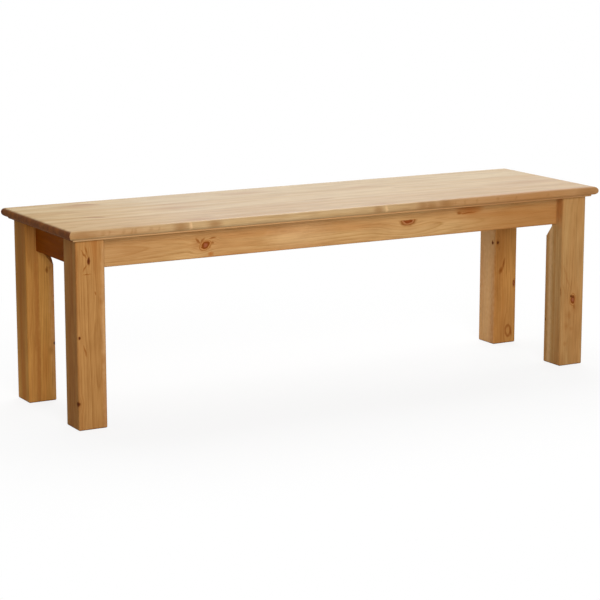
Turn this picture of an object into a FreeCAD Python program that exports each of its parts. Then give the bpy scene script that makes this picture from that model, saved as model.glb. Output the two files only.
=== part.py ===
import FreeCAD, Part
import Sketcher
import math
import os
import re

# A plain bench of solid pine: three edge-glued seat boards on four aprons and four square legs.
# The inner top corner of each leg is cut away. A hanger bolt there draws the leg against the ends of two
# aprons, through a bent steel bracket that hooks into both of them. A middle rail and angle clips hold the
# seat flat. The origin is on the floor under the middle of the seat, +X runs along the bench to its right
# end and +Y to its back.

# Driving dimensions in millimetres
SIZES = {
    # Seat: three boards, moulded on all four sides with a rounded nose and a small step under it
    "seat_length": "1400",
    "seat_depth": "400",
    "seat_height": "445",
    "seat_thickness": "24",
    "outer_board_width": "134",
    "nose_round": "9.5",
    "step_inset": "12.5",
    "step_height": "4.5",
    "step_round": "1.5",
    # Legs: square posts set in from the edge of the seat, each with its inner top corner cut away
    "seat_overhang": "22",
    "leg_width": "68",
    "leg_arris_radius": "3",
    "corner_cut_drop": "37",
    "corner_cut_rise": "30",
    # Aprons: set back from the outer faces of the legs
    "apron_height": "68",
    "apron_thickness": "18",
    "apron_recess": "26",
    "apron_arris_radius": "2",
    # Corner brackets: a diagonal web, two flanges and two lips that hook into saw kerfs
    "bracket_reach": "52",
    "bracket_flange": "26",
    "bracket_lip": "6",
    "bracket_thickness": "2",
    "bracket_height": "44",
    "bracket_bend": "2",
    "bracket_screw_spacing": "28",
    "kerf_clearance": "0.15",
    # Hanger bolts with their washers and nuts
    "bolt_diameter": "8",
    "bolt_embed": "48",
    "bolt_proud": "6",
    "bolt_tip": "8",
    "bolt_end_bevel": "1",
    "washer_rim": "6",
    "washer_thickness": "1.6",
    "nut_wall": "2.5",
    "nut_height": "6.5",
    "nut_face_rim": "0.3",
    # Small pan-head screws of the brackets and clips
    "screw_diameter": "4",
    "screw_length": "12",
    "screw_tip": "4",
    "screw_head_rim": "2",
    "screw_head_height": "2.6",
    "screw_head_bevel": "1.2",
    # Cross recess in the head of every screw
    "recess_width": "1",
    "recess_depth": "1.6",
    "recess_rim": "1.6",
    # Middle rail with its dowels and its long screws
    "rail_thickness": "20",
    "rail_height": "44",
    "rail_dowel_diameter": "8",
    "rail_dowel_length": "30",
    "rail_dowel_depth": "11",
    "rail_dowel_bevel": "1",
    "rail_dowel_spacing": "22",
    "rail_screw_diameter": "5",
    "rail_screw_recess": "20",
    "rail_screw_bite": "14",
    "rail_screw_head_rim": "2.25",
    "rail_screw_head_height": "3",
    "rail_screw_inset": "34",
    # Angle clips between aprons and seat
    "clip_leg": "25",
    "clip_width": "22",
    "clip_thickness": "2",
    "clip_hole_edge": "9",
    "clip_offset": "300",
    # Room round a fastener and past its end
    "drill_clearance": "0.1",
    "drill_end_room": "1.5",
    "counterbore_clearance": "0.5",
}

# Lengths worked out from the driving dimensions
NOSE_THICKNESS = "(seat_thickness - step_height)"
LEG_HEIGHT = "(seat_height - seat_thickness)"
APRON_INSET = "(apron_recess + apron_thickness)"
CORNER_CUT = f"(leg_width - {APRON_INSET})"
CORNER_X = f"(seat_length / 2 - seat_overhang - {APRON_INSET})"
CORNER_Y = f"(seat_depth / 2 - seat_overhang - {APRON_INSET})"
APRON_BOTTOM = f"({LEG_HEIGHT} - apron_height)"
APRON_MIDDLE = f"({LEG_HEIGHT} - apron_height / 2)"
CUT_START = f"({APRON_BOTTOM} - corner_cut_drop)"
FLANGE_END = "(bracket_reach + bracket_flange)"
WEB_BACK = "(bracket_reach / sqrt(2) + bracket_thickness)"
RAIL_BOTTOM = f"({LEG_HEIGHT} - rail_height)"
HALF_BOLT_HOLE = "(bolt_diameter / 2 + drill_clearance)"
NUT_SEAT = f"({WEB_BACK} + washer_thickness)"
BOLT_TIP = f"({CORNER_CUT} / sqrt(2) - bolt_embed)"
BOLT_LENGTH = f"({NUT_SEAT} + nut_height + bolt_proud - {BOLT_TIP})"
CLIP_HOLE = "(clip_leg - clip_hole_edge)"

# Corners: which way each lies from the middle
CORNERS = {
    "front_left": (-1, -1),
    "front_right": (1, -1),
    "back_right": (1, 1),
    "back_left": (-1, 1),
}
# Sides: the way in from each apron, and how far its inner face is from the middle
SIDES = {
    "front": (0, 1, CORNER_Y),
    "back": (0, -1, CORNER_Y),
    "left": (1, 0, CORNER_X),
    "right": (-1, 0, CORNER_X),
}
# Clips: the apron each sits on, and its place along it
CLIPS = {
    "front_left": ("front", "-clip_offset"),
    "front_right": ("front", "clip_offset"),
    "back_left": ("back", "clip_offset"),
    "back_right": ("back", "-clip_offset"),
    "left_end": ("left", "0"),
    "right_end": ("right", "0"),
}
UP = (0, 0, 1)
DOWN = (0, 0, -1)
ALONG = (1, 0)
ACROSS = (0, 1)
# The most of the nose's thickness that one of its two rounds can take
ROUND_LIMIT = 0.49
TOLERANCE = 0.001

doc = FreeCAD.newDocument("bench")
sheet = doc.addObject("Spreadsheet::Sheet", "Sizes")
for row, (alias, text) in enumerate(SIZES.items(), start=1):
    sheet.set(f"A{row}", alias)
    sheet.set(f"B{row}", text)
    sheet.setAlias(f"B{row}", alias)
doc.recompute()

sub_parts = []
cuts = {}


# Helpers

def cells(text):
    """An expression with each size written as its cell of the sheet."""
    return re.sub(r"[a-z]\w*", lambda word: f"Sizes.{word[0]}" if word[0] in SIZES else word[0], text)


def bind(feature, expressions):
    """Tie properties of a feature to expressions of the sizes."""
    for name, text in expressions.items():
        feature.setExpression(name, cells(text))
    return feature


def value(text):
    """What an expression of the sizes comes to now."""
    return float(sheet.evalExpression(cells(text)))


def facing(direction):
    """The rotation that turns +Z to a direction."""
    return FreeCAD.Rotation(FreeCAD.Vector(*UP), FreeCAD.Vector(*direction))


def swung(start, end):
    """The rotation about the upright that swings one level direction to another."""
    turn = math.atan2(end[1], end[0]) - math.atan2(start[1], start[0])
    return FreeCAD.Rotation(FreeCAD.Vector(*UP), math.degrees(turn))


def from_front_left(corner):
    """The rotation that takes the front left corner to another."""
    return swung(CORNERS["front_left"], CORNERS[corner])


def from_front(side):
    """The rotation that takes the front to another side."""
    return swung(SIDES["front"], SIDES[side])


def place(feature, spot, rotation=FreeCAD.Rotation()):
    """Put a feature at a spot, given as three expressions."""
    feature.Placement = FreeCAD.Placement(FreeCAD.Vector(), rotation)
    x, y, z = spot
    return bind(feature, {"Placement.Base.x": x, "Placement.Base.y": y, "Placement.Base.z": z})


def keep(feature):
    """Count a finished feature as a sub-part of the bench."""
    sub_parts.append(feature)
    return feature


def group(label, features):
    """Several like pieces as one sub-part."""
    compound = doc.addObject("Part::Compound", label)
    compound.Links = features
    return keep(compound)


def less(name, base, tools):
    """A feature less several tools."""
    together = doc.addObject("Part::Compound", f"{name}_cuts")
    together.Links = tools
    piece = doc.addObject("Part::Cut", name)
    piece.Base = base
    piece.Tool = together
    return piece


def cut_from(label, base):
    """A sub-part: a blank less the holes and kerfs gathered for it under its label."""
    return keep(less(label, base, cuts[label]))


def add_cut(tool, labels):
    """Gather a tool for the sub-parts that it cuts."""
    for label in labels:
        cuts.setdefault(label, []).append(tool)


def drill(name, spot, direction, radius, depth, labels):
    """A round hole from a spot along a direction, through the named sub-parts."""
    bit = doc.addObject("Part::Cylinder", name)
    bind(bit, {"Radius": radius, "Height": depth})
    add_cut(place(bit, spot, facing(direction)), labels)


def box(name, spot, sides):
    """A plain block from its low corner and its three sides."""
    block = doc.addObject("Part::Box", name)
    bind(block, {"Length": sides[0], "Width": sides[1], "Height": sides[2]})
    return place(block, spot)


def outline(body, name, role, points):
    """A closed sketch of straight lines on one of a body's own planes, through pairs of expressions."""
    sketch = body.newObject("Sketcher::SketchObject", name)
    plane = next(feature for feature in body.Origin.OriginFeatures if feature.Role == role)
    sketch.AttachmentSupport = [(plane, "")]
    sketch.MapMode = "FlatFace"
    spots = [FreeCAD.Vector(value(across), value(up), 0) for across, up in points]
    for start, end in zip(spots, spots[1:] + spots[:1]):
        sketch.addGeometry(Part.LineSegment(start, end))
    for index, (across, up) in enumerate(points):
        following = (index + 1) % len(points)
        sketch.addConstraint(Sketcher.Constraint("Coincident", index, 2, following, 1))
        for kind, axis, text in (("DistanceX", -2, across), ("DistanceY", -1, up)):
            if text == "0":
                sketch.addConstraint(Sketcher.Constraint("PointOnObject", index, 1, axis))
                continue
            limit = Sketcher.Constraint(kind, -1, 1, index, 1, value(text))
            title = f"{kind}_{index}"
            sketch.renameConstraint(sketch.addConstraint(limit), title)
            bind(sketch, {f"Constraints.{title}": text})
    return sketch


def rectangle(low_x, low_y, high_x, high_y):
    """The four corners of an upright rectangle."""
    return [(low_x, low_y), (high_x, low_y), (high_x, high_y), (low_x, high_y)]


def padded(name, role, points, length, symmetric=False):
    """A body that pads an outline on one of its planes, and that pad."""
    body = doc.addObject("PartDesign::Body", name)
    sketch = outline(body, f"{name}_outline", role, points)
    pad = body.newObject("PartDesign::Pad", f"{name}_pad")
    pad.Profile = sketch
    if symmetric:
        pad.SideType = "Symmetric"
    bind(pad, {"Length": length})
    doc.recompute()
    return body, pad


def turned(name, points):
    """A body turned about its own Z axis from a half outline of (radius, height) pairs."""
    body = doc.addObject("PartDesign::Body", name)
    sketch = outline(body, f"{name}_outline", "XZ_Plane", points)
    turning = body.newObject("PartDesign::Revolution", f"{name}_turning")
    turning.Profile = sketch
    turning.ReferenceAxis = (sketch, ["V_Axis"])
    doc.recompute()
    return body


def edges(feature, wanted):
    """The names of a feature's edges that a test picks."""
    return [f"Edge{index}" for index, edge in enumerate(feature.Shape.Edges, start=1) if wanted(edge)]


def level(height):
    """A test for edges that lie flat at a height."""
    goal = value(height)

    def at_height(edge):
        bounds = edge.BoundBox
        return abs(bounds.ZMin - goal) < TOLERANCE and abs(bounds.ZMax - goal) < TOLERANCE

    return at_height


def upright(edge):
    """A test for edges that run straight up."""
    return edge.BoundBox.XLength < TOLERANCE and edge.BoundBox.YLength < TOLERANCE


def ease(body, base, name, wanted, radius):
    """A fillet on the picked edges of a body's last feature."""
    fillet = body.newObject("PartDesign::Fillet", name)
    fillet.Base = (base, edges(base, wanted))
    bind(fillet, {"Radius": radius})
    doc.recompute()
    return fillet


def in_corner(corner, along_x, along_y, height):
    """A spot measured inwards from where the inner faces of a corner's two aprons would meet."""
    to_x, to_y = CORNERS[corner]
    return f"{to_x} * ({CORNER_X} - ({along_x}))", f"{to_y} * ({CORNER_Y} - ({along_y}))", height


def on_apron(side, along, inwards, height):
    """A spot measured along an apron from its middle, and inwards from its inner face."""
    in_x, in_y, reach = SIDES[side]
    x = f"{in_x} * (({inwards}) - {reach}) + {in_y} * ({along})"
    y = f"{in_y} * (({inwards}) - {reach}) - {in_x} * ({along})"
    return x, y, height


def opposite(direction):
    """The other way along a direction."""
    return tuple(-part for part in direction)


def screw(name, spot, head_way, sizes, labels):
    """A pointed screw with a cross recess, its head at a spot and pointing one way, and its hole."""
    diameter, length, head_rim, head_height = sizes
    half = f"{diameter} / 2"
    half_head = f"{half} + {head_rim}"
    points = [
        ("0", f"-({length})"),
        (half, f"screw_tip - ({length})"),
        (half, "0"),
        (half_head, "0"),
        (half_head, f"{head_height} - screw_head_bevel"),
        (f"{half_head} - screw_head_bevel", head_height),
        ("0", head_height),
    ]
    hole = f"{half} + drill_clearance"
    drill(f"{name}_hole", spot, opposite(head_way), hole, f"{length} + drill_end_room", labels)

    arm = f"({half_head} - recess_rim)"
    floor = f"{head_height} - recess_depth"
    slots = [
        box(f"{name}_slot_{index}", (f"-{low_x}", f"-{low_y}", floor),
            (f"2 * {low_x}", f"2 * {low_y}", "recess_depth"))
        for index, (low_x, low_y) in enumerate(((arm, "recess_width / 2"), ("recess_width / 2", arm)))
    ]
    driven = less(name, turned(f"{name}_blank", points), slots)
    return place(driven, spot, facing(head_way))


SMALL_SCREW = ("screw_diameter", "screw_length", "screw_head_rim", "screw_head_height")


# Legs

def leg(corner):
    """A square post with rounded arrises and foot, and its inner top corner cut away."""
    label = f"leg_{corner}"
    plan = rectangle(f"-{APRON_INSET}", f"-{APRON_INSET}", CORNER_CUT, CORNER_CUT)
    body, post = padded(f"{label}_post", "XY_Plane", plan, LEG_HEIGHT)
    foot = level("0")

    def arris(edge):
        return upright(edge) or foot(edge)

    rounded = ease(body, post, f"{label}_arrises", arris, "leg_arris_radius")

    # The cut is drawn on the upright plane through the leg's diagonal
    cut_face = f"{CORNER_CUT} / sqrt(2)"
    cut_edge = f"{CORNER_CUT} * sqrt(2)"
    profile = [
        (cut_edge, CUT_START),
        (cut_face, f"{CUT_START} + corner_cut_rise"),
        (cut_face, LEG_HEIGHT),
        (cut_edge, LEG_HEIGHT),
    ]
    sketch = outline(body, f"{label}_cut_outline", "XZ_Plane", profile)
    diagonal = FreeCAD.Rotation(FreeCAD.Vector(0, 1, 0), 45)
    sketch.AttachmentOffset = FreeCAD.Placement(FreeCAD.Vector(), diagonal)
    corner_cut = body.newObject("PartDesign::Pocket", f"{label}_corner_cut")
    corner_cut.Profile = sketch
    corner_cut.SideType = "Symmetric"
    corner_cut.Type = "ThroughAll"
    doc.recompute()
    if corner_cut.Shape.Volume >= rounded.Shape.Volume:
        raise RuntimeError(f"{label}: the corner cut removes nothing")

    place(body, in_corner(corner, "0", "0", "0"), from_front_left(corner))
    cut_from(label, body)


# Aprons and middle rail

def beam(name, length, low_y, high_y, height):
    """A rail of solid wood along its own X, with its two lower long edges eased."""
    plan = rectangle(f"-{length} / 2", low_y, f"{length} / 2", high_y)
    body, blank = padded(name, "XY_Plane", plan, height)
    low = level("0")

    def long_and_low(edge):
        return low(edge) and edge.BoundBox.YLength < TOLERANCE

    ease(body, blank, f"{name}_arrises", long_and_low, "apron_arris_radius")
    return body


def apron(side, length):
    """An apron whose ends meet the inner faces of two legs."""
    label = f"{side}_apron"
    body = beam(f"{label}_blank", length, "-apron_thickness", "0", "apron_height")
    place(body, on_apron(side, "0", "0", APRON_BOTTOM), from_front(side))
    cut_from(label, body)


def middle_rail():
    """A cross rail under the seat between the front and back aprons, dowelled and screwed."""
    body = beam("middle_rail_blank", f"(2 * {CORNER_Y})", "-rail_thickness / 2", "rail_thickness / 2",
                "rail_height")
    place(body, ("0", "0", RAIL_BOTTOM), swung(ALONG, ACROSS))

    half = "rail_dowel_diameter / 2"
    eased = f"{half} - rail_dowel_bevel"
    profile = [
        ("0", "0"),
        (eased, "0"),
        (half, "rail_dowel_bevel"),
        (half, "rail_dowel_length - rail_dowel_bevel"),
        (eased, "rail_dowel_length"),
        ("0", "rail_dowel_length"),
    ]
    dowels = []
    for side in ("front", "back"):
        inwards = (0, SIDES[side][1], 0)
        for level_name, step in (("low", "-"), ("high", "+")):
            name = f"middle_rail_dowel_{side}_{level_name}"
            height = f"{RAIL_BOTTOM} + rail_height / 2 {step} rail_dowel_spacing / 2"
            dowel = turned(name, profile)
            dowels.append(place(dowel, on_apron(side, "0", "-rail_dowel_depth", height), facing(inwards)))
            mouth = on_apron(side, "0", "-rail_dowel_depth - drill_end_room", height)
            depth = "rail_dowel_length + 2 * drill_end_room"
            hosts = ("middle_rail", f"{side}_apron")
            drill(f"{name}_hole", mouth, inwards, f"{half} + drill_clearance", depth, hosts)
    group("middle_rail_dowels", dowels)

    length = "(rail_height - rail_screw_recess + rail_screw_bite)"
    sizes = ("rail_screw_diameter", length, "rail_screw_head_rim", "rail_screw_head_height")
    outer = f"({CORNER_Y} - rail_screw_inset)"
    screws = []
    for board, place_y in (("front", f"-{outer}"), ("middle", "0"), ("back", outer)):
        name = f"middle_rail_screw_{board}"
        seat = ("0", place_y, f"{RAIL_BOTTOM} + rail_screw_recess")
        screws.append(screw(name, seat, DOWN, sizes, ("middle_rail", "seat")))
        bore = "rail_screw_diameter / 2 + rail_screw_head_rim + counterbore_clearance"
        mouth = ("0", place_y, RAIL_BOTTOM)
        drill(f"{name}_counterbore", mouth, UP, bore, "rail_screw_recess", ("middle_rail",))
    group("middle_rail_screws", screws)
    cut_from("middle_rail", body)


# Corner brackets with their bolts and screws

def bracket(corner):
    """A bent strip across the corner: a diagonal web, two flanges on the aprons, a lip at each end."""
    label = f"corner_bracket_{corner}"
    bend = "bracket_reach + bracket_thickness * (sqrt(2) - 1)"
    lip_start = f"{FLANGE_END} - bracket_thickness"
    half = [
        ("bracket_reach", "0"),
        (lip_start, "0"),
        (lip_start, "-bracket_lip"),
        (FLANGE_END, "-bracket_lip"),
        (FLANGE_END, "bracket_thickness"),
        (bend, "bracket_thickness"),
    ]
    other_half = [(up, across) for across, up in reversed(half)]
    body, strip = padded(f"{label}_strip", "XY_Plane", half + other_half, "bracket_height")

    def at_bend(near, far):
        spot = value(near), value(far)

        def wanted(edge):
            reach = sorted((edge.CenterOfMass.x, edge.CenterOfMass.y))
            off_bend = max(abs(reach[0] - spot[0]), abs(reach[1] - spot[1]))
            return upright(edge) and off_bend < TOLERANCE

        return wanted

    outer_radius = "bracket_bend + bracket_thickness"
    inner = ease(body, strip, f"{label}_inner_bend", at_bend("bracket_thickness", bend), "bracket_bend")
    ease(body, inner, f"{label}_outer_bend", at_bend("0", "bracket_reach"), outer_radius)
    bottom = f"{APRON_MIDDLE} - bracket_height / 2"
    place(body, in_corner(corner, "0", "0", bottom), from_front_left(corner))
    cut_from(label, body)


def hanger_bolt(corner):
    """A bolt along a leg's diagonal, its pointed end in the leg, its washer and nut on the bracket."""
    to_x, to_y = CORNERS[corner]
    inwards = (-to_x, -to_y, 0)

    def on_diagonal(distance):
        step = f"({distance}) / sqrt(2)"
        return in_corner(corner, step, step, APRON_MIDDLE)

    half = "bolt_diameter / 2"
    profile = [
        ("0", "0"),
        (half, "bolt_tip"),
        (half, f"{BOLT_LENGTH} - bolt_end_bevel"),
        (f"{half} - bolt_end_bevel", BOLT_LENGTH),
        ("0", BOLT_LENGTH),
    ]
    keep(place(turned(f"hanger_bolt_{corner}", profile), on_diagonal(BOLT_TIP), facing(inwards)))
    hosts = (f"leg_{corner}", f"corner_bracket_{corner}")
    mouth = on_diagonal(f"{BOLT_TIP} - drill_end_room")
    depth = f"{BOLT_LENGTH} + 2 * drill_end_room"
    drill(f"bolt_hole_{corner}", mouth, inwards, HALF_BOLT_HOLE, depth, hosts)

    ring = rectangle(HALF_BOLT_HOLE, "0", f"{half} + washer_rim", "washer_thickness")
    keep(place(turned(f"bolt_washer_{corner}", ring), on_diagonal(WEB_BACK), facing(inwards)))

    # The nut's corners are bevelled at 30 degrees on both faces
    nut = f"bolt_nut_{corner}"
    hexagon = doc.addObject("Part::Prism", f"{nut}_hexagon")
    hexagon.Polygon = 6
    bind(hexagon, {"Circumradius": f"({half} + nut_wall) * 2 / sqrt(3)", "Height": "nut_height"})
    face = f"{half} + nut_wall - nut_face_rim"
    waist = f"{face} + nut_height / 2 * sqrt(3)"
    cones = [("0", "0"), (face, "0"), (waist, "nut_height / 2"), (face, "nut_height"), ("0", "nut_height")]
    bevelled = doc.addObject("Part::Common", f"{nut}_bevelled")
    bevelled.Base = hexagon
    bevelled.Tool = turned(f"{nut}_cones", cones)
    place(bevelled, on_diagonal(NUT_SEAT), facing(inwards))
    drill(f"{nut}_bore", on_diagonal(NUT_SEAT), inwards, HALF_BOLT_HOLE, "nut_height", (nut,))
    cut_from(nut, bevelled)


def bracket_fixings(corner):
    """The four screws of a bracket, and the saw kerfs that its two lips hook into."""
    to_x, to_y = CORNERS[corner]
    long_apron, end_apron = (f"{side}_apron" for side in corner.split("_"))
    label = f"corner_bracket_{corner}"
    middle = "bracket_reach + bracket_flange / 2"
    screws = []
    for level_name, step in (("low", "-"), ("high", "+")):
        height = f"{APRON_MIDDLE} {step} bracket_screw_spacing / 2"
        long_spot = in_corner(corner, middle, "bracket_thickness", height)
        end_spot = in_corner(corner, "bracket_thickness", middle, height)
        for host, spot, inwards in (
            (long_apron, long_spot, (0, -to_y, 0)),
            (end_apron, end_spot, (-to_x, 0, 0)),
        ):
            name = f"bracket_screw_{corner}_{host}_{level_name}"
            screws.append(screw(name, spot, inwards, SMALL_SCREW, (host, label)))
    group(f"bracket_screws_{corner}", screws)

    width = "(bracket_thickness + 2 * kerf_clearance)"
    depth = "(bracket_lip + kerf_clearance)"
    centre = f"({FLANGE_END} - bracket_thickness / 2)"
    for host, along_x, along_y, sides in (
        (long_apron, centre, f"-{depth} / 2", (width, depth)),
        (end_apron, f"-{depth} / 2", centre, (depth, width)),
    ):
        x, y, bottom = in_corner(corner, along_x, along_y, APRON_BOTTOM)
        low_corner = (f"{x} - {sides[0]} / 2", f"{y} - {sides[1]} / 2", bottom)
        add_cut(box(f"kerf_{corner}_{host}", low_corner, (*sides, "apron_height")), (host,))


# Seat

def seat_clip(name):
    """An angle clip under the seat with one screw into its apron and one up into the seat."""
    side, along = CLIPS[name]
    in_x, in_y, _ = SIDES[side]
    label = f"seat_clip_{name}"
    profile = [
        ("0", "0"),
        ("0", "-clip_leg"),
        ("clip_thickness", "-clip_leg"),
        ("clip_thickness", "-clip_thickness"),
        ("clip_leg", "-clip_thickness"),
        ("clip_leg", "0"),
    ]
    body, _ = padded(f"{label}_angle", "YZ_Plane", profile, "clip_width", symmetric=True)
    place(body, on_apron(side, along, "0", LEG_HEIGHT), from_front(side))
    apron_spot = on_apron(side, along, "clip_thickness", f"{LEG_HEIGHT} - {CLIP_HOLE}")
    seat_spot = on_apron(side, along, CLIP_HOLE, f"{LEG_HEIGHT} - clip_thickness")
    inwards = (in_x, in_y, 0)
    apron_hosts = (label, f"{side}_apron")
    group(f"seat_clip_screws_{name}", [
        screw(f"clip_screw_{name}_apron", apron_spot, inwards, SMALL_SCREW, apron_hosts),
        screw(f"clip_screw_{name}_seat", seat_spot, DOWN, SMALL_SCREW, (label, "seat")),
    ])
    cut_from(label, body)


def seat_plan(inset):
    """The seat's outline, set in from its edges."""
    half_length = f"(seat_length / 2 - {inset})"
    half_depth = f"(seat_depth / 2 - {inset})"
    return rectangle(f"-{half_length}", f"-{half_depth}", half_length, half_depth)


def moulded_seat():
    """The seat in one piece: a thin step under a thicker board whose nose is rounded above and below."""
    body, _ = padded("seat_step", "XY_Plane", seat_plan("step_inset"), "step_height")
    sketch = outline(body, "seat_nose_outline", "XY_Plane", seat_plan("0"))
    bind(sketch, {"AttachmentOffset.Base.z": "step_height"})
    nose = body.newObject("PartDesign::Pad", "seat_nose")
    nose.Profile = sketch
    bind(nose, {"Length": NOSE_THICKNESS})
    doc.recompute()
    top = level("seat_thickness")
    underside = level("step_height")

    def nose_edge(edge):
        past_length = abs(edge.CenterOfMass.x) - value("seat_length / 2")
        past_depth = abs(edge.CenterOfMass.y) - value("seat_depth / 2")
        return top(edge) or (underside(edge) and max(past_length, past_depth) > -TOLERANCE)

    nose_radius = f"min(nose_round; {ROUND_LIMIT} * {NOSE_THICKNESS})"
    rounded = ease(body, nose, "seat_nose_rounds", nose_edge, nose_radius)
    ease(body, rounded, "seat_step_round", level("0"), "step_round")
    return place(body, ("0", "0", LEG_HEIGHT))


def seat_boards():
    """The moulded and drilled seat, sawn into the three boards that it is glued from."""
    drilled = less("seat_drilled", moulded_seat(), cuts["seat"])

    middle_width = "(seat_depth - 2 * outer_board_width)"
    for name, low_y, width in (
        ("front", "-seat_depth / 2", "outer_board_width"),
        ("middle", f"-{middle_width} / 2", middle_width),
        ("back", f"{middle_width} / 2", "outer_board_width"),
    ):
        low_corner = ("-seat_length / 2", low_y, LEG_HEIGHT)
        stave = box(f"stave_{name}", low_corner, ("seat_length", width, "seat_thickness"))
        board = doc.addObject("Part::Common", f"seat_board_{name}")
        board.Base = drilled
        board.Tool = stave
        keep(board)


def build():
    """All pieces, each after the ones whose holes it takes."""
    middle_rail()
    for name in CLIPS:
        seat_clip(name)
    for corner in CORNERS:
        hanger_bolt(corner)
        bracket_fixings(corner)
        bracket(corner)
        leg(corner)
    for side in ("front", "back"):
        apron(side, f"(2 * ({CORNER_X} - {CORNER_CUT}))")
    for side in ("left", "right"):
        apron(side, f"(2 * ({CORNER_Y} - {CORNER_CUT}))")
    seat_boards()
    doc.recompute()


def write():
    """Check every feature and write each sub-part to a file of its own."""
    for feature in doc.Objects:
        if "Invalid" in feature.State or "Error" in feature.State:
            raise RuntimeError(f"{feature.Label} did not build")
    for piece in sub_parts:
        if piece.Shape.isNull() or not piece.Shape.isValid():
            raise RuntimeError(f"{piece.Label} has no sound shape")
    os.makedirs("parts", exist_ok=True)
    for piece in sub_parts:
        piece.Shape.exportStep(os.path.join("parts", f"{piece.Label}.step"))
        print(piece.Label, len(piece.Shape.Solids), round(piece.Shape.Volume))


build()
write()
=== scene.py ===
import math
from collections import namedtuple
import bpy
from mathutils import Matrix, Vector


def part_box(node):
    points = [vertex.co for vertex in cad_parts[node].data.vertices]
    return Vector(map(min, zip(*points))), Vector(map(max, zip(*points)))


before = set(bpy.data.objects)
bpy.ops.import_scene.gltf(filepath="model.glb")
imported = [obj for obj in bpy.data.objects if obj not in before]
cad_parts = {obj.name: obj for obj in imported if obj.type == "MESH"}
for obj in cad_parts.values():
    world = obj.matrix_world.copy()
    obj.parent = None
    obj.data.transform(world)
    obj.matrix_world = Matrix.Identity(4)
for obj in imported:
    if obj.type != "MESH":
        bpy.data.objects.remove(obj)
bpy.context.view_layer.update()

# Every piece of the bench keeps its shape from model.glb. This script gives the pieces their wood and metal
# and sets up the studio. Sizes and places of patterns are in millimetres, in the bench's own frame.
MM = 0.001
AXES = "xyz"


# Node helpers

def linear(colour):
    """An sRGB hex colour as linear red, green, blue and alpha."""
    shares = [int(colour[start:start + 2], 16) / 255 for start in (1, 3, 5)]
    light = [share / 12.92 if share <= 0.04045 else ((share + 0.055) / 1.055) ** 2.4 for share in shares]
    return (*light, 1)


def metres(lengths):
    """Millimetres as metres."""
    return tuple(length * MM for length in lengths)


def radians(angles):
    """Degrees as radians."""
    return tuple(math.radians(angle) for angle in angles)


def new_tree(block):
    """An empty node tree for a material or a world."""
    block.use_nodes = True
    block.node_tree.nodes.clear()
    return block.node_tree


def add(tree, kind, inputs=None, stops=None, **settings):
    """Add a node with its settings, colour stops and inputs: sockets and nodes are linked, the rest set."""
    node = tree.nodes.new(f"ShaderNode{kind}")
    for option, choice in settings.items():
        setattr(node, option, choice)
    for socket, source in (inputs or {}).items():
        if isinstance(source, bpy.types.Node):
            source = next(output for output in source.outputs if output.enabled)
        if isinstance(source, bpy.types.NodeSocket):
            tree.links.new(source, node.inputs[socket])
        else:
            node.inputs[socket].default_value = source
    if stops:
        ramp = node.color_ramp.elements
        while len(ramp) < len(stops):
            ramp.new(1)
        for element, (position, colour) in zip(ramp, stops):
            element.position = position
            element.color = linear(colour)
    return node


def dress(piece, material):
    """Give a piece of the bench its material."""
    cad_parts[piece].data.materials[0] = material


# Pine

# Early wood, late wood and heart wood of what each piece was sawn from
APRON_WOOD = ("#CFA56F", "#B98C55", "#C3905A")
# The left apron's wood is much darker and redder than the other aprons': a red heart wood, with the shade
# of its recess under the seat painted in
RED_HEARTWOOD_AND_SHADE = ("#9C5410", "#783B05", "#8A4508")
WOOD = {
    "seat_board_front": ("#CBAD81", "#BB9867", "#BD9764"),
    "seat_board_middle": ("#CFB58B", "#BFA071", "#C19F6E"),
    "seat_board_back": ("#CFB890", "#BFA376", "#C1A273"),
    "front_apron": APRON_WOOD,
    "back_apron": APRON_WOOD,
    "left_apron": RED_HEARTWOOD_AND_SHADE,
    "right_apron": APRON_WOOD,
    "middle_rail": APRON_WOOD,
    "leg_front_left": ("#B8874F", "#9B6A37", "#A86F39"),
    "leg_front_right": ("#C59C66", "#AA7F4B", "#B88751"),
    "leg_back_left": ("#DBA155", "#BF8140", "#CB823C"),
    "leg_back_right": ("#CF9855", "#B0763A", "#BC793A"),
}
# Gloss of the finish: how rough the smoothest and the roughest streaks are, and how strongly they shine.
# The seat is polished by use and shows the pale room at a low angle; the frame is only oiled
SEAT_FINISH = (0.3, 0.44, 0.25)
FRAME_FINISH = (0.55, 0.7, 0.02)
# Roughness where the polish has gone, on what faces the floor, and on end grain
DULL_ROUGHNESS = 0.85
UNDERSIDE_ROUGHNESS = 0.95
END_GRAIN_ROUGHNESS = 1.0
WOOD_IOR = 1.5

# The pattern's lumps in millimetres, along the grain and across it. Fibres are about 0.04 mm wide; they
# are drawn 1.6 mm wide, so that they show as fine streaks
FIBRE_SIZE = (90, 1.6)
HEART_BAND_SIZE = (450, 34)
OIL_CLOUD_SIZE = (60, 16)
RING_BEND_SIZE = (320, 55)
MARK_LUMP_SIZE = (11, 7)
# How far rings bend and outlines of marks waver, along the grain and across it
RING_BEND = (0, 14)
MARK_WAVER = (6, 4.5)
# Reach of a knot's pull on the grain, in half sizes along the grain and across it, at how many times the
# reach it has faded, and its strength
KNOT_REACH = (3, 1.8)
KNOT_FADE = 2
KNOT_PULL = 0.9
# How sharply a mark's upper half is cut off
CUT_SHARPNESS = 10
# The faintest late-wood line beside the strongest
FAINTEST_LINE = 0.3
# Noise at which heart wood begins and is full, and between which the finish goes from smooth to rough
HEART_BEGINS, HEART_FULL = 0.4, 0.7
SMOOTH_NOISE, ROUGH_NOISE = 0.3, 0.7
# Weight of the oil's clouds, and of the rings' height, beside the fibres
CLOUD_WEIGHT = 0.5
RING_WEIGHT = 0.5
# How far a face turns to the grain's end before it starts to look like end grain, and until it fully does
END_BEGINS, END_FULL = 0.25, 0.7
# How far a face turns down before it starts to lose its polish, and until it has none
DOWN_BEGINS, DOWN_FULL = -0.2, -0.6
# Width of the worn edges and depth of the relief in millimetres, and the relief's strength
WORN_EDGE_WIDTH = 4
RELIEF_DEPTH = 0.15
RELIEF_STRENGTH = 0.3
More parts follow.
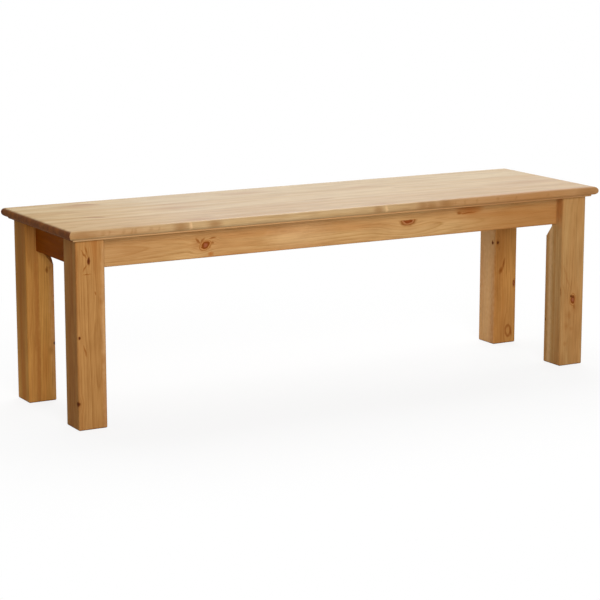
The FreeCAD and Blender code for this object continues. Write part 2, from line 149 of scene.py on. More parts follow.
# Each piece reads the noise at a place of its own, this many times as far out as its middle
NOISE_SPREAD = 37

# Marks in the wood, some of them painted light and shade, drawn by their distance from the middle, the
# broad ones first.
# Stops run from there to the reach, in half sizes: first the colour, then how much of it covers the grain
MARK_REACH = 2
MARKS = {
    # A band of pale sapwood; the same paint also serves as painted light on some legs and painted
    # highlights on the seat's front edge
    "sapwood and painted light": (
        [(0, "#EDC494"), (1, "#E4BA88")],
        [(0, "#D8D8D8"), (0.25, "#C0C0C0"), (0.5, "#000000")],
    ),
    # A stretch of pale but warm wood
    "warm wood": (
        [(0, "#CD9A62"), (1, "#CD9C66")],
        [(0, "#F4F4F4"), (0.3, "#E8E8E8"), (0.5, "#000000")],
    ),
    # A stretch of darker, warmer heart wood
    "heart wood": (
        [(0, "#A86E35"), (1, "#AE783F")],
        [(0, "#EAEAEA"), (0.3, "#C8C8C8"), (0.5, "#000000")],
    ),
    # Heart wood full of resin; the same paint also serves as painted shade at the top of the front-right
    # leg
    "resin and painted shade": (
        [(0, "#A86328"), (1, "#AC6C32")],
        [(0, "#EAEAEA"), (0.3, "#C8C8C8"), (0.5, "#000000")],
    ),
    # A soft brown stain
    "stain": (
        [(0, "#9A6230"), (1, "#A46E3A")],
        [(0, "#B8B8B8"), (0.2, "#989898"), (0.5, "#000000")],
    ),
    # A dark stain, where the saw ran close to a knot; the same paint also serves as painted shade on the
    # back-left leg
    "dark stain and painted shade": (
        [(0, "#885826"), (1, "#95652E")],
        [(0, "#E0E0E0"), (0.2, "#C0C0C0"), (0.5, "#000000")],
    ),
    # A resin streak beside a knot
    "streak": (
        [(0, "#80420F"), (1, "#96581F")],
        [(0, "#F0F0F0"), (0.3, "#D0D0D0"), (0.65, "#000000")],
    ),
    # The bark ring of a small branch, with clear wood inside
    "bark ring": (
        [(0, "#864818"), (1, "#8E5020")],
        [(0.26, "#000000"), (0.42, "#DADADA"), (0.5, "#DADADA"), (0.64, "#000000")],
    ),
    # A branch cut through while it grew: red-brown with a dark rim, then a pale ring and a ring of resin
    "live knot": (
        [
            (0, "#925236"), (0.12, "#9A5A3A"), (0.26, "#8F4C2A"), (0.4, "#7A3E12"), (0.5, "#8A4C1C"),
            (0.6, "#C08850"), (0.7, "#8E5420"), (0.8, "#B0783E"),
        ],
        [(0, "#FFFFFF"), (0.62, "#FFFFFF"), (0.74, "#D8D8D8"), (0.86, "#707070"), (1, "#000000")],
    ),
    # A branch that stops at a saw cut: half rings, red-brown and pale by turns
    "half knot": (
        [
            (0, "#8C4822"), (0.14, "#88451F"), (0.27, "#7E3E18"), (0.34, "#B0764A"), (0.38, "#AC7244"),
            (0.44, "#824818"), (0.52, "#965C28"),
        ],
        [(0, "#FFFFFF"), (0.42, "#FFFFFF"), (0.5, "#C0C0C0"), (0.62, "#000000")],
    ),
    # A branch that had died: almost black at the heart
    "dead knot": (
        [(0, "#4A210C"), (0.3, "#6A3616"), (0.55, "#8F5A2A")],
        [(0, "#FFFFFF"), (0.35, "#FFFFFF"), (0.55, "#7A7A7A"), (0.8, "#000000")],
    ),
}
KNOTS = ("live knot", "half knot", "dead knot", "bark ring")
# A place where the polish has gone, which fades outwards and changes no colour
DULL_PATCH = "dull patch"

# A mark of one kind: its middle, half sizes and turn in degrees, and whether its upper half is cut off
Mark = namedtuple("Mark", "kind middle half_sizes turn flat_top", defaults=((0, 0, 0), False))


def grainwise(grain, along, across):
    """A number for the axis along the grain and another for the two across it."""
    return tuple(along if axis == grain else across for axis in AXES)


def pattern(tree, place, start, size, **settings):
    """Noise whose lumps have the given size in millimetres, read from a starting place."""
    lumps = add(tree, "Mapping", {"Vector": place, "Location": start, "Scale": metres(size)},
                vector_type="TEXTURE")
    return add(tree, "TexNoise", {"Vector": lumps, "Scale": 1, **settings}).outputs


def shifted(tree, place, start, lump, shift):
    """The place, moved up to half of the shift by noise with lumps of the given size, in millimetres."""
    middle_noise = (0.5, 0.5, 0.5)
    noise = pattern(tree, place, start, lump, Detail=1)["Color"]
    noise = add(tree, "VectorMath", {0: noise, 1: middle_noise}, operation="SUBTRACT")
    noise = add(tree, "VectorMath", {0: noise, 1: metres(shift), 2: place}, operation="MULTIPLY_ADD")
    return noise.outputs["Vector"]


def mark_distance(tree, place, spot, stretch=(1, 1, 1)):
    """Distance from a mark's middle in half sizes, which may be stretched on each axis."""
    inside = add(tree, "Mapping", {
        "Vector": place,
        "Location": metres(spot.middle),
        "Rotation": radians(spot.turn),
        "Scale": metres(size * longer for size, longer in zip(spot.half_sizes, stretch)),
    }, vector_type="TEXTURE")
    distance = add(tree, "VectorMath", {0: inside}, operation="LENGTH").outputs["Value"]
    if spot.flat_top:
        height = add(tree, "SeparateXYZ", {0: inside}).outputs["Z"]
        height = add(tree, "Math", {0: height, 1: CUT_SHARPNESS, 2: 1}, operation="MULTIPLY_ADD")
        distance = add(tree, "Math", {0: distance, 1: height}, operation="MAXIMUM").outputs[0]
    return distance


def parted(tree, place, knot, grain):
    """The place, drawn towards a knot, so that the grain parts and flows round it."""
    reach = mark_distance(tree, place, knot, grainwise(grain, *KNOT_REACH))
    pull = add(tree, "MapRange", {"Value": reach, "From Max": KNOT_FADE, "To Min": -KNOT_PULL, "To Max": 0},
               interpolation_type="SMOOTHERSTEP")
    away = add(tree, "VectorMath", {0: place, 1: metres(knot.middle)}, operation="SUBTRACT")
    away = add(tree, "VectorMath", {0: away, "Scale": pull}, operation="SCALE")
    return add(tree, "VectorMath", {0: place, 1: away}, operation="ADD").outputs["Vector"]


def nearest(tree, distances):
    """The smallest of some distances."""
    least = distances[0]
    for distance in distances[1:]:
        least = add(tree, "Math", {0: least, 1: distance}, operation="MINIMUM").outputs[0]
    return least


def edge_distance(tree, place, low, high):
    """Distance from the nearest edge of a square-cut piece, in metres."""
    out = add(tree, "VectorMath", {0: place, 1: (low + high) / 2}, operation="SUBTRACT")
    out = add(tree, "VectorMath", {0: out}, operation="ABSOLUTE")
    depth = add(tree, "VectorMath", {0: (high - low) / 2, 1: out}, operation="SUBTRACT")
    x, y, z = add(tree, "SeparateXYZ", {0: depth}).outputs
    edges = [
        add(tree, "Math", {0: first, 1: second}, operation="MAXIMUM").outputs[0]
        for first, second in ((x, y), (y, z), (x, z))
    ]
    return nearest(tree, edges)


def pine(piece, grain, finish, pith, ring, tilt=(0, 0, 0), marks=()):
    """Planed and oiled pine: pale early wood, darker late-wood lines, fine fibres, knots, stains and some
    painted light and shade.

    The pith lies at an offset from the piece's middle on the two axes across the grain. A ring of the tree
    is so many millimetres wide. A tilt of the pith in degrees makes the rings run out along the piece.
    """
    early, late, heart = WOOD[piece]
    smooth, rough, shine = finish
    material = bpy.data.materials.new(f"oiled_planed_pine_{piece}")
    tree = new_tree(material)
    low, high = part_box(piece)
    middle = (low + high) / 2
    offsets = dict(zip([axis for axis in AXES if axis != grain], pith))
    pith_place = middle + Vector([offsets.get(axis, 0) * MM for axis in AXES])
    start = middle * NOISE_SPREAD
    place = add(tree, "TexCoord").outputs["Object"]

    # Distance from the pith, counted in rings, which flow round knots and wander a little along the trunk
    bent = place
    for spot in marks:
        if spot.kind in KNOTS:
            bent = parted(tree, bent, spot, grain)
    bent = shifted(tree, bent, start, grainwise(grain, *RING_BEND_SIZE), grainwise(grain, *RING_BEND))
    rings = add(tree, "VectorMath", {0: bent, 1: pith_place}, operation="SUBTRACT")
    rings = add(tree, "Mapping", {"Vector": rings, "Rotation": radians(tilt)}, vector_type="TEXTURE")
    per_metre = grainwise(grain, 0, 1 / (ring * MM))
    rings = add(tree, "VectorMath", {0: rings, 1: per_metre}, operation="MULTIPLY")
    rings = add(tree, "VectorMath", {0: rings}, operation="LENGTH").outputs["Value"]

    # Within a ring the wood darkens slowly outwards and ends in a line, stronger in some years than others
    year = add(tree, "Math", {0: rings}, operation="FLOOR")
    year = add(tree, "TexWhiteNoise", {"W": year}, noise_dimensions="1D").outputs["Value"]
    year = add(tree, "MapRange", {"Value": year, "To Min": FAINTEST_LINE})
    growth = add(tree, "Math", {0: rings}, operation="FRACT")
    growth = add(tree, "ValToRGB", {"Fac": growth}, stops=[
        (0, "#000000"), (0.4, "#505050"), (0.75, "#BCBCBC"), (0.88, "#FFFFFF"), (1, "#000000"),
    ])
    growth = add(tree, "Math", {0: growth.outputs["Color"], 1: year}, operation="MULTIPLY")

    fibre = pattern(tree, bent, start, grainwise(grain, *FIBRE_SIZE), Detail=3, Roughness=0.6)[0]
    # Heart wood lies in broad bands along the trunk
    band = pattern(tree, bent, start, grainwise(grain, *HEART_BAND_SIZE), Detail=2)[0]
    band = add(tree, "MapRange", {"Value": band, "From Min": HEART_BEGINS, "From Max": HEART_FULL},
               interpolation_type="SMOOTHSTEP")

    colour = add(tree, "Mix", {"Factor": growth, 6: linear(early), 7: linear(late)},
                 data_type="RGBA").outputs[2]
    colour = add(tree, "Mix", {"Factor": band, 6: colour, 7: linear(heart)}, data_type="RGBA").outputs[2]
    # Oil sinks in unevenly, in soft clouds
    cloud = pattern(tree, place, start, grainwise(grain, *OIL_CLOUD_SIZE), Detail=2)[0]
    shade = add(tree, "Math", {0: cloud, 1: CLOUD_WEIGHT, 2: fibre}, operation="MULTIPLY_ADD")
    shade = add(tree, "ValToRGB", {"Fac": shade}, stops=[
        (0.5, "#DAD0C3"), (0.75, "#F3EFEA"), (1, "#FFFFFF"),
    ])
    colour = add(tree, "Mix", {"Factor": 1.0, 6: colour, 7: shade}, data_type="RGBA",
                 blend_type="MULTIPLY").outputs[2]
    # Marks have uneven outlines
    uneven = shifted(tree, place, start, grainwise(grain, *MARK_LUMP_SIZE), grainwise(grain, *MARK_WAVER))
    for kind, (paint, cover) in MARKS.items():
        spots = [spot for spot in marks if spot.kind == kind]
        if spots:
            far = nearest(tree, [mark_distance(tree, uneven, spot) for spot in spots])
            far = add(tree, "Math", {0: far, 1: MARK_REACH}, operation="DIVIDE")
            paint = add(tree, "ValToRGB", {"Fac": far}, stops=paint)
            cover = add(tree, "ValToRGB", {"Fac": far}, stops=cover)
            colour = add(tree, "Mix", {"Factor": cover, 6: colour, 7: paint}, data_type="RGBA").outputs[2]

    # End grain drinks more oil, a little unevenly: darker and duller
    facing = add(tree, "NewGeometry").outputs["Normal"]
    end = add(tree, "VectorMath", {0: facing, 1: grainwise(grain, 1, 0)}, operation="DOT_PRODUCT")
    end = add(tree, "Math", {0: end.outputs["Value"]}, operation="ABSOLUTE")
    end = add(tree, "MapRange", {"Value": end, "From Min": END_BEGINS, "From Max": END_FULL})
    soaked = add(tree, "ValToRGB", {"Fac": cloud}, stops=[(0.35, "#8A5B1E"), (0.65, "#A57028")])
    colour = add(tree, "Mix", {"Factor": end, 6: colour, 7: soaked}, data_type="RGBA",
                 blend_type="MULTIPLY").outputs[2]

    # Handling darkens the edges in patches
    worn = edge_distance(tree, place, low, high)
    worn = add(tree, "MapRange", {
        "Value": worn, "From Max": WORN_EDGE_WIDTH * MM, "To Min": 1, "To Max": 0,
    })
    worn = add(tree, "Math", {0: worn, 1: fibre}, operation="MULTIPLY")
    colour = add(tree, "Mix", {"Factor": worn, 6: colour, 7: linear("#D8C2A6")}, data_type="RGBA",
                 blend_type="MULTIPLY").outputs[2]

    height = add(tree, "Math", {0: growth, 1: RING_WEIGHT, 2: fibre}, operation="MULTIPLY_ADD")
    relief = add(tree, "Bump", {
        "Height": height, "Strength": RELIEF_STRENGTH, "Distance": RELIEF_DEPTH * MM,
    })
    gloss = add(tree, "MapRange", {
        "Value": fibre, "From Min": SMOOTH_NOISE, "From Max": ROUGH_NOISE,
        "To Min": smooth, "To Max": rough,
    })
    gloss = add(tree, "Mix", {"Factor": end, 2: gloss, 3: END_GRAIN_ROUGHNESS})
    for spot in marks:
        if spot.kind == DULL_PATCH:
            patch = mark_distance(tree, place, spot)
            patch = add(tree, "MapRange", {"Value": patch, "To Min": 1, "To Max": 0})
            gloss = add(tree, "Mix", {"Factor": patch, 2: gloss, 3: DULL_ROUGHNESS})
    # No hand polishes what faces the floor
    down = add(tree, "SeparateXYZ", {0: facing}).outputs["Z"]
    down = add(tree, "MapRange", {"Value": down, "From Min": DOWN_BEGINS, "From Max": DOWN_FULL})
    gloss = add(tree, "Mix", {"Factor": down, 2: gloss, 3: UNDERSIDE_ROUGHNESS})
    shader = add(tree, "BsdfPrincipled", {
        "Base Color": colour, "Roughness": gloss, "IOR": WOOD_IOR, "Specular IOR Level": shine,
        "Normal": relief,
    })
    add(tree, "OutputMaterial", {"Surface": shader})
    return material


SEAT = dict(grain="x", finish=SEAT_FINISH)
LONG_APRON = dict(grain="x", finish=FRAME_FINISH)
SHORT_APRON = dict(grain="y", finish=FRAME_FINISH)
LEG = dict(grain="z", finish=FRAME_FINISH)

# The left end of the seat, on all three boards
DULL_LEFT_END = Mark(DULL_PATCH, (-760, 0, 445), (420, 700, 200))

# Short dark flecks along the seat's front edge: where each is and half its width
NOSE_FLECKS = (
    (-688, 8), (-669, 4), (-658, 5), (-622, 9), (-607, 4), (-574, 7), (-553, 4), (-545, 5),
    (-509, 9), (-489, 4), (281, 4), (309, 6), (343, 5), (402, 7), (455, 4), (548, 6),
)

PINE_PIECES = {
    "seat_board_front": dict(SEAT, pith=(-10, -60), ring=4.2, tilt=(0, 0.6, 0.4), marks=[
        DULL_LEFT_END,
        Mark("warm wood", (0, -184, 422), (900, 14, 12)),
        Mark("stain", (-381, -171, 445), (60, 26, 20)),
        Mark("stain", (94, -174, 445), (60, 24, 20)),
        Mark("stain", (-590, -218, 432), (240, 36, 40)),
        Mark("heart wood", (500, -202, 432), (400, 32, 34)),
        Mark("heart wood", (-600, -222, 434), (240, 28, 60)),
        *(Mark("dark stain and painted shade", (x, -207, 437), (half, 12, 12), (0, 15, 0)) for x, half in NOSE_FLECKS),
        Mark("dark stain and painted shade", (-672, -208, 436), (60, 20, 20)),
        Mark("dark stain and painted shade", (-436, -202, 436), (26, 18, 18)),
        Mark("dark stain and painted shade", (-353, -204, 436), (26, 18, 18)),
        Mark("dark stain and painted shade", (70, -206, 436), (18, 18, 16)),
        Mark("dark stain and painted shade", (192, -204, 436), (22, 20, 18)),
        Mark("dark stain and painted shade", (214, -202, 434), (24, 18, 18)),
        Mark("dark stain and painted shade", (253, -203, 438), (30, 18, 18)),
        Mark("dark stain and painted shade", (668, -209, 436), (50, 20, 20)),
        # Painted highlights: two pale bands where curled grain on the front edge catches the light
        Mark("sapwood and painted light", (-412, -207, 438), (6.5, 16, 24)),
        Mark("sapwood and painted light", (92, -208, 438), (6.5, 16, 24)),
    ]),
    "seat_board_middle": dict(SEAT, pith=(24, -70), ring=5, tilt=(0, -0.5, 0.5), marks=[
        DULL_LEFT_END,
        Mark("stain", (-346, 58, 445), (40, 14, 16)),
        Mark("stain", (-356, 4, 445), (90, 34, 16)),
        Mark("streak", (-565, -40, 445), (30, 5, 10), (0, 0, -20)),
        Mark("stain", (14, -46, 445), (40, 14, 16)),
        Mark("stain", (614, -44, 445), (160, 40, 16)),
    ]),
    "seat_board_back": dict(SEAT, pith=(14, -55), ring=4, tilt=(0, 0.5, -0.5), marks=[
        DULL_LEFT_END,
        Mark("stain", (-541, 134, 445), (70, 28, 16)),
        Mark("streak", (-515, 146, 445), (34, 6, 10), (0, 0, -28)),
        Mark("stain", (-111, 131, 445), (100, 36, 16)),
        Mark("stain", (184, 84, 445), (60, 18, 16)),
    ]),
    "front_apron": dict(LONG_APRON, pith=(34, -8), ring=2.8, tilt=(0, 0.5, 0.5), marks=[
        Mark("stain", (-545, -152, 384), (150, 24, 60)),
        Mark("stain", (-375, -152, 387), (18, 20, 16)),
        Mark("live knot", (-353, -152, 381), (10.5, 30, 7.5), (0, -24, 0)),
        Mark("streak", (-372, -152, 392), (9, 20, 3), (0, 53, 0)),
        Mark("streak", (-361, -152, 392), (9, 20, 3), (0, -46, 0)),
        Mark("streak", (-335, -152, 397), (9, 20, 2)),
        Mark("streak", (-335, -152, 386), (3.6, 20, 4)),
        Mark("resin and painted shade", (-340, -152, 361), (9, 20, 6)),
        Mark("sapwood and painted light", (-110, -176, 386), (170, 30, 80)),
        Mark("half knot", (180, -152, 397), (22, 30, 14.5), flat_top=True),
        Mark("resin and painted shade", (353, -152, 409), (46, 24, 15)),
        Mark("streak", (324, -152, 402), (7, 20, 4)),
        Mark("streak", (348, -152, 401), (24, 20, 2), (0, -3, 0)),
        Mark("streak", (354, -152, 417), (40, 20, 4)),
        Mark("heart wood", (530, -168, 376), (240, 40, 60)),
        Mark("stain", (440, -152, 396), (60, 20, 1.8), (0, -2, 0)),
        Mark("stain", (505, -152, 404), (60, 20, 1.8), (0, -2, 0)),
        Mark("stain", (560, -152, 387), (50, 20, 1.6), (0, -3, 0)),
        Mark("stain", (500, -152, 374), (70, 20, 1.6), (0, -2, 0)),
    ]),
    "back_apron": dict(LONG_APRON, pith=(-40, 10), ring=3.2, tilt=(0, -0.4, 0.4), marks=[
        Mark("live knot", (-210, 152, 378), (9, 30, 8)),
        Mark("dead knot", (390, 152, 398), (4, 20, 3)),
    ]),
    "left_apron": dict(SHORT_APRON, pith=(30, 6), ring=3.2, tilt=(0.8, 0, 0.5)),
    "right_apron": dict(SHORT_APRON, pith=(-30, -10), ring=3.4, tilt=(-0.8, 0, 0.5), marks=[
        Mark("live knot", (652, 36, 380), (24, 8, 7)),
    ]),
    "middle_rail": dict(SHORT_APRON, pith=(35, 0), ring=3.6),
    "leg_front_left": dict(LEG, pith=(20, 52), ring=3.4, tilt=(0.6, 0.5, 0), marks=[
        Mark("dead knot", (-648, -178, 375), (3.5, 20, 10)),
        Mark("streak", (-659, -178, 391), (2, 20, 11), (0, -35, 0)),
        Mark("streak", (-653, -178, 396), (1.6, 20, 12), (0, -14, 0)),
        Mark("streak", (-657, -178, 360), (2, 20, 8), (0, 30, 0)),
        Mark("streak", (-653, -178, 346), (9, 20, 1.5)),
        Mark("dead knot", (-673, -178, 208), (3.2, 14, 3.6)),
        Mark("streak", (-660, -178, 177), (2, 20, 13), (0, -16, 0)),
        Mark("dead knot", (-679, -176, 60), (7, 9, 6)),
        Mark("stain", (-616, -178, 155), (8, 20, 16)),
        Mark("streak", (-634, -178, 303), (1.5, 20, 4)),
        Mark("sapwood and painted light", (-612, -194, 210), (18, 20, 600)),
    ]),
    "leg_back_left": dict(LEG, pith=(-30, 40), ring=3.2, tilt=(0.4, 0.3, 0), marks=[
        Mark("streak", (-627, 110, 308), (3.4, 16, 8)),
        Mark("stain", (-620, 110, 312), (5, 16, 7)),
        Mark("dead knot", (-612, 110, 136), (4, 12, 4)),
        Mark("stain", (-622, 110, 119), (7, 20, 13)),
        Mark("stain", (-663, 108, 200), (21, 20, 600)),
        Mark("resin and painted shade", (-653, 99, 200), (9, 20, 600)),
        # Painted light on the right part of the front face, where the front-left leg's shadow falls
        Mark("sapwood and painted light", (-610, 94, 200), (26, 20, 600)),
        # Painted shade: the top of the front face darkened under the seat, and the left face darkened, most
        # towards the top
        Mark("dark stain and painted shade", (-668, 98, 350), (18, 20, 70)),
        Mark("dark stain and painted shade", (-680, 144, 400), (15, 60, 450)),
    ]),
    "leg_front_right": dict(LEG, pith=(-18, 60), ring=3.8, tilt=(0.5, 0.6, 0), marks=[
        Mark("live knot", (646, -178, 165), (6.5, 20, 10.5)),
        Mark("dead knot", (641, -178, 174), (3, 12, 3.5)),
        Mark("dead knot", (647, -178, 171), (2, 12, 2.5)),
        Mark("streak", (650, -178, 150), (3, 20, 9)),
        Mark("stain", (652, -178, 143), (12, 20, 18)),
        Mark("stain", (635, -178, 127), (12, 16, 14)),
        Mark("stain", (629, -178, 100), (11, 16, 12)),
        Mark("stain", (643, -178, 92), (9, 16, 8)),
        Mark("stain", (626, -178, 56), (9, 16, 8)),
        Mark("stain", (620, -178, 240), (4, 16, 28), (0, -22, 0)),
        Mark("stain", (630, -178, 212), (4, 16, 26), (0, -26, 0)),
        Mark("stain", (618, -178, 196), (4, 16, 20), (0, -20, 0)),
        Mark("stain", (612, -192, 180), (14, 20, 900)),
        Mark("streak", (609, -178, 190), (2, 4, 18)),
        Mark("dead knot", (610, -116, 108), (6, 2.5, 3.5)),
        Mark("sapwood and painted light", (603, -131, 180), (11, 13, 900)),
        Mark("heart wood", (603, -148, 180), (10, 8, 900)),
        Mark("stain", (604, -170, 180), (8, 12, 900)),
        # Painted shade with red-brown resin wood: the top of the left face, between the apron and the front
        # edge, darker and redder under the seat
        Mark("resin and painted shade", (606, -164, 395), (10, 18, 64)),
    ]),
    "leg_back_right": dict(LEG, pith=(40, 40), ring=3.2, tilt=(0.5, -0.4, 0), marks=[
        Mark("dead knot", (608, 120, 266), (8, 4.5, 5)),
        Mark("dead knot", (619, 108, 267), (4.5, 8, 5)),
        Mark("streak", (638, 110, 211), (4, 16, 15), (0, 14, 0)),
        Mark("streak", (630, 110, 194), (5.2, 16, 11), (0, 34, 0)),
        Mark("live knot", (671, 110, 157), (3.4, 12, 7.5)),
        Mark("stain", (644, 110, 50), (60, 24, 130)),
        Mark("stain", (622, 107, 160), (20, 14, 150)),
        Mark("dark stain and painted shade", (620, 99, 150), (26, 14, 200)),
        Mark("bark ring", (655, 110, 32), (9, 16, 15)),
        Mark("streak", (664, 110, 30), (3.2, 16, 14), (0, -4, 0)),
        # Painted light: the left face paler and warmer, as if more light falls on it
        Mark("sapwood and painted light", (603, 146, 200), (12, 80, 900)),
    ]),
}
for piece, board in PINE_PIECES.items():
    dress(piece, pine(piece, **board))


# Beech

# Ray flecks are 1 to 3 mm long and about 0.3 mm wide; sizes are along the grain and across it
BEECH_FLECK_SIZE = (2.4, 0.35)
BEECH_TONE_SIZE = (30, 4)
# Noise at which a fleck begins and is full
FLECK_BEGINS, FLECK_FULL = 0.58, 0.7
BEECH_SMOOTH, BEECH_ROUGH = 0.5, 0.7
# Depth of the relief in millimetres, and its strength
FLECK_DEPTH = 0.05
FLECK_STRENGTH = 0.2


def turned_beech(grain):
    """Turned and sanded beech: even pink-tan wood with a dull, close surface and short dark flecks."""
    material = bpy.data.materials.new("turned_beech")
    tree = new_tree(material)
    place = add(tree, "TexCoord").outputs["Object"]
    fleck = pattern(tree, place, start=(3, 1, 2), size=grainwise(grain, *BEECH_FLECK_SIZE), Detail=1)[0]
    tone = pattern(tree, place, start=(1, 4, 2), size=grainwise(grain, *BEECH_TONE_SIZE), Detail=2)[0]
    colour = add(tree, "Mix", {"Factor": tone, 6: linear("#DDB791"), 7: linear("#C79A70")},
                 data_type="RGBA").outputs[2]
    dark = add(tree, "MapRange", {"Value": fleck, "From Min": FLECK_BEGINS, "From Max": FLECK_FULL})
    colour = add(tree, "Mix", {"Factor": dark, 6: colour, 7: linear("#A4744B")},
                 data_type="RGBA").outputs[2]
    gloss = add(tree, "MapRange", {"Value": tone, "To Min": BEECH_SMOOTH, "To Max": BEECH_ROUGH})
    relief = add(tree, "Bump", {
        "Height": fleck, "Strength": FLECK_STRENGTH, "Distance": FLECK_DEPTH * MM,
    })
    shader = add(tree, "BsdfPrincipled", {
        "Base Color": colour, "Roughness": gloss, "IOR": WOOD_IOR, "Normal": relief,
    })
    add(tree, "OutputMaterial", {"Surface": shader})
    return material


dress("middle_rail_dowels", turned_beech("y"))


# Zinc-plated steel

# Sizes in millimetres on each axis. Rolled sheet has long scratches, turned steel short ones; both are
# drawn coarser than the real 0.05 mm, to show
ZINC_CLOUD_SIZE = (5, 5, 5)
ROLLED_SCRATCH_SIZE = (12, 12, 0.6)
TURNED_SCRATCH_SIZE = (0.5, 0.5, 0.5)
SCRATCH_DEPTH = 0.04
SCRATCH_STRENGTH = 0.25


def zinc_plated(name, scratch_size, smooth, rough):
    """Bright zinc plate on steel: cool grey with faint yellow and blue clouds, and fine scratches.

    It gives the eye a soft gleam that the scratches break up. Their size depends on how the steel was
    shaped before plating.
    """
    material = bpy.data.materials.new(name)
    tree = new_tree(material)
    place = add(tree, "TexCoord").outputs["Object"]
    cloud = pattern(tree, place, start=(0, 0, 0), size=ZINC_CLOUD_SIZE, Detail=3)[0]
    scratch = pattern(tree, place, start=(2, 5, 1), size=scratch_size, Detail=3, Roughness=0.6)[0]
    colour = add(tree, "ValToRGB", {"Fac": cloud}, stops=[
        (0.3, "#AEB4BC"), (0.5, "#C6C8CA"), (0.7, "#CFCBBB"),
    ])
    gloss = add(tree, "MapRange", {
        "Value": scratch, "From Min": SMOOTH_NOISE, "From Max": ROUGH_NOISE,
        "To Min": smooth, "To Max": rough,
    })
    relief = add(tree, "Bump", {
        "Height": scratch, "Strength": SCRATCH_STRENGTH, "Distance": SCRATCH_DEPTH * MM,
    })
    shader = add(tree, "BsdfPrincipled", {
        "Base Color": colour, "Metallic": 1, "Roughness": gloss, "Normal": relief,
    })
    add(tree, "OutputMaterial", {"Surface": shader})
    return material


CORNERS = ("front_left", "front_right", "back_left", "back_right")
CLIP_PLACES = CORNERS + ("left_end", "right_end")
SHEET_PIECES = [f"corner_bracket_{corner}" for corner in CORNERS]
SHEET_PIECES += [f"seat_clip_{place}" for place in CLIP_PLACES]
TURNED_PIECES = ["middle_rail_screws"]
for fastener in ("hanger_bolt", "bolt_washer", "bolt_nut", "bracket_screws"):
    TURNED_PIECES += [f"{fastener}_{corner}" for corner in CORNERS]
TURNED_PIECES += [f"seat_clip_screws_{place}" for place in CLIP_PLACES]
rolled_sheet = zinc_plated("zinc_plated_rolled_steel", ROLLED_SCRATCH_SIZE, smooth=0.3, rough=0.48)
turned_steel = zinc_plated("zinc_plated_turned_steel", TURNED_SCRATCH_SIZE, smooth=0.22, rough=0.38)
for piece in SHEET_PIECES:
    dress(piece, rolled_sheet)
for piece in TURNED_PIECES:
    dress(piece, turned_steel)


# Studio

# The camera stands where the photograph was taken from, in millimetres and degrees
CAMERA_PLACE = (-2412.8, -4263.4, 1171.8)
CAMERA_AZIMUTH = 29.239
CAMERA_PITCH = 11.268
CAMERA_SENSOR = 36
CAMERA_LENS = 125.25
# Lamps: place, target and size in metres, and power in watts
SOFTBOXES = {
    "high_softbox": ((0.6, 1.9, 3.4), (0.3, 0, 0.4), (4, 3), 98),
    "front_softbox": ((-1.3, -3.9, 1.7), (0.1, 0, 0.3), (2.2, 2.2), 140),
    "back_softbox": ((1.7, 2.6, 2.8), (0.1, 0, 0.3), (1.8, 1.2), 16),
    "right_softbox": ((3.6, 0.6, 1.4), (0.6, 0, 0.2), (1.6, 1.6), 24),
}
WHITE = linear("#FFFFFF")
# Light that the room throws on the bench, beside a backdrop of 1
ROOM_LIGHT = 0.24
# Half the side of the floor, in metres
FLOOR_HALF = 60
# How much of the bench's shadow shows close by, and how far out in metres it starts to fade and is gone.
# Distance along the bench counts for less, since the shadow is long
SHADOW_SHARE = 0.16
SHADOW_FADES, SHADOW_ENDS = 0.5, 1.3
SHADOW_STRETCH = (0.7, 1, 1)


def place_camera():
    """The camera at the photograph's viewing angle."""
    camera = bpy.data.objects.new("camera", bpy.data.cameras.new("camera"))
    bpy.context.scene.collection.objects.link(camera)
    camera.location = metres(CAMERA_PLACE)
    camera.rotation_euler = radians((90 - CAMERA_PITCH, 0, -CAMERA_AZIMUTH))
    camera.data.sensor_width = CAMERA_SENSOR
    camera.data.lens = CAMERA_LENS
    bpy.context.scene.camera = camera


def softbox(name, place, target, size, watts):
    """A rectangular lamp at a place, facing a target, in metres."""
    light = bpy.data.lights.new(name, "AREA")
    light.shape = "RECTANGLE"
    light.size, light.size_y = size
    light.energy = watts
    lamp = bpy.data.objects.new(name, light)
    lamp.location = place
    lamp.rotation_euler = (Vector(target) - Vector(place)).to_track_quat("-Z", "Y").to_euler()
    bpy.context.scene.collection.objects.link(lamp)


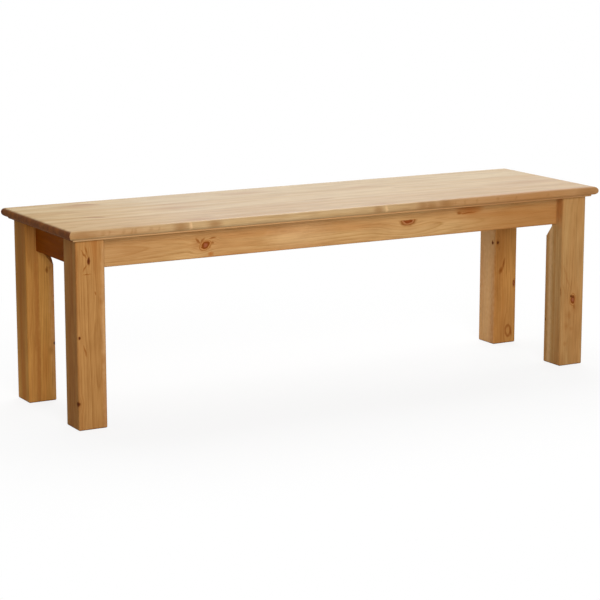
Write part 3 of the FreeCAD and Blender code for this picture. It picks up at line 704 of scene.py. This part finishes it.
def seen_directly(tree):
    """1 for what the camera, a reflection or clear matter shows, 0 for light that falls on the bench."""
    path = add(tree, "LightPath").outputs
    seen = add(tree, "Math", {0: path["Is Camera Ray"], 1: path["Is Glossy Ray"]}, operation="MAXIMUM")
    return add(tree, "Math", {0: seen, 1: path["Is Transmission Ray"]}, operation="MAXIMUM")


def surroundings():
    """A white backdrop that lights the bench softly."""
    world = bpy.data.worlds.new("studio")
    tree = new_tree(world)
    dim = add(tree, "Background", {"Color": WHITE, "Strength": ROOM_LIGHT})
    backdrop = add(tree, "Background", {"Color": WHITE, "Strength": 1})
    both = add(tree, "MixShader", {0: seen_directly(tree), 1: dim, 2: backdrop})
    add(tree, "OutputWorld", {"Surface": both})
    bpy.context.scene.world = world


def pale_floor():
    """A pale floor that shows white away from the bench and keeps its shadow close by."""
    half = FLOOR_HALF
    corners = [(-half, -half, 0), (half, -half, 0), (half, half, 0), (-half, half, 0)]
    mesh = bpy.data.meshes.new("floor")
    mesh.from_pydata(corners, [], [(0, 1, 2, 3)])
    floor = bpy.data.objects.new("floor", mesh)
    bpy.context.scene.collection.objects.link(floor)
    material = bpy.data.materials.new("matt_white_paper")
    tree = new_tree(material)
    place = add(tree, "TexCoord").outputs["Object"]
    away = add(tree, "VectorMath", {0: place, 1: SHADOW_STRETCH}, operation="MULTIPLY")
    away = add(tree, "VectorMath", {0: away}, operation="LENGTH").outputs["Value"]
    shade = add(tree, "MapRange", {
        "Value": away, "From Min": SHADOW_FADES, "From Max": SHADOW_ENDS,
        "To Min": SHADOW_SHARE, "To Max": 0,
    }, interpolation_type="SMOOTHSTEP")
    paper = add(tree, "BsdfDiffuse", {"Color": linear("#C4C4C4")})
    lit = add(tree, "BsdfDiffuse", {"Color": linear("#FAFAFA")})
    white = add(tree, "Emission", {"Color": WHITE, "Strength": 1})
    shown = add(tree, "MixShader", {0: shade, 1: white, 2: lit})
    both = add(tree, "MixShader", {0: seen_directly(tree), 1: paper, 2: shown})
    add(tree, "OutputMaterial", {"Surface": both})
    mesh.materials.append(material)


place_camera()
for name, settings in SOFTBOXES.items():
    softbox(name, *settings)
surroundings()
pale_floor()
bpy.context.scene.view_settings.view_transform = "Standard"
